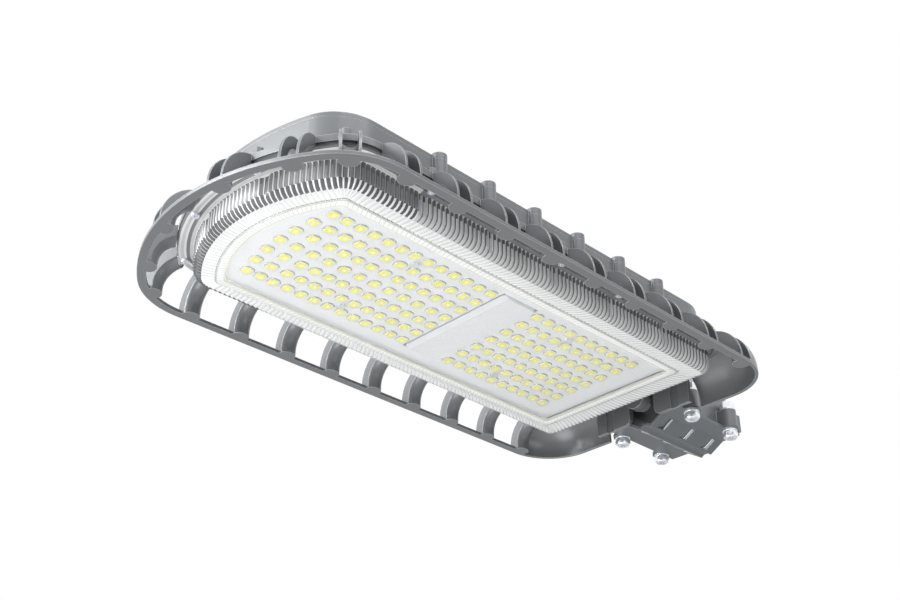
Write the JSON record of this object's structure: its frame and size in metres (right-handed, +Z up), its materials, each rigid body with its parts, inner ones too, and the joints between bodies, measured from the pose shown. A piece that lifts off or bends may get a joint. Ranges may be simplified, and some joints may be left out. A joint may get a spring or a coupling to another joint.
{
  "type": "led street light head",
  "caption": "Street light head with a ribbed clear lens over LED boards, a spoked guard ring, a deep housing with a lid, and a pole clamp at its end.",
  "frame": {"origin": "middle of the pole clamp, on the pole's axis", "axes": "+X along the pole's axis, out of the clamp's mouth; +Z up; the LEDs shine along -Z"},
  "size_m": [0.6313, 0.284, 0.085],
  "materials": {
    "grey_casting": "satin silver-grey powder coat on die-cast aluminium",
    "clear_lens": "clear moulded polycarbonate",
    "black_rubber": "matt black silicone",
    "zinc_steel": "bright zinc plate",
    "grey_steel": "grey powder coat on pressed steel",
    "led_board": "white solder mask on an aluminium board",
    "led_phosphor": "yellow phosphor in a white package",
    "white_plastic": "satin white moulded plastic",
    "thermal_pad": "matt grey silicone",
    "driver_case": "brushed case filled with potting",
    "grey_plastic": "satin grey nylon",
    "dark_plastic": "matt black moulded plastic"
  },
  "bodies": {
    "root": {"body_casting": "grey_casting", "top_cover": "grey_casting", "top_cover_gasket": "black_rubber", "top_cover_screws": "zinc_steel", "lens_cover": "clear_lens", "lens_gasket": "black_rubber", "lens_screws": "zinc_steel", "led_board_front": "led_board", "led_board_rear": "led_board", "thermal_pad_front": "thermal_pad", "thermal_pad_rear": "thermal_pad", "led_emitters_front": "led_phosphor", "led_emitters_rear": "led_phosphor", "led_board_screws": "zinc_steel", "centre_cover": "white_plastic", "clamp_jaw": "grey_steel", "clamp_bolts": "zinc_steel", "clamp_spring_washers": "zinc_steel", "clamp_flat_washers": "zinc_steel", "clamp_top_washers": "zinc_steel", "clamp_nuts": "zinc_steel", "cable_gland_body": "grey_plastic", "cable_gland_nut": "grey_plastic", "cable_gland_seal": "black_rubber", "breather_valve": "dark_plastic", "driver": "driver_case", "driver_screws": "zinc_steel", "surge_protector": "dark_plastic", "surge_protector_screws": "zinc_steel", "terminal_block": "white_plastic", "terminal_block_screws": "zinc_steel", "cord_clip": "dark_plastic", "cord_clip_screws": "zinc_steel", "earth_screw": "zinc_steel"}
  },
  "joints": []
}
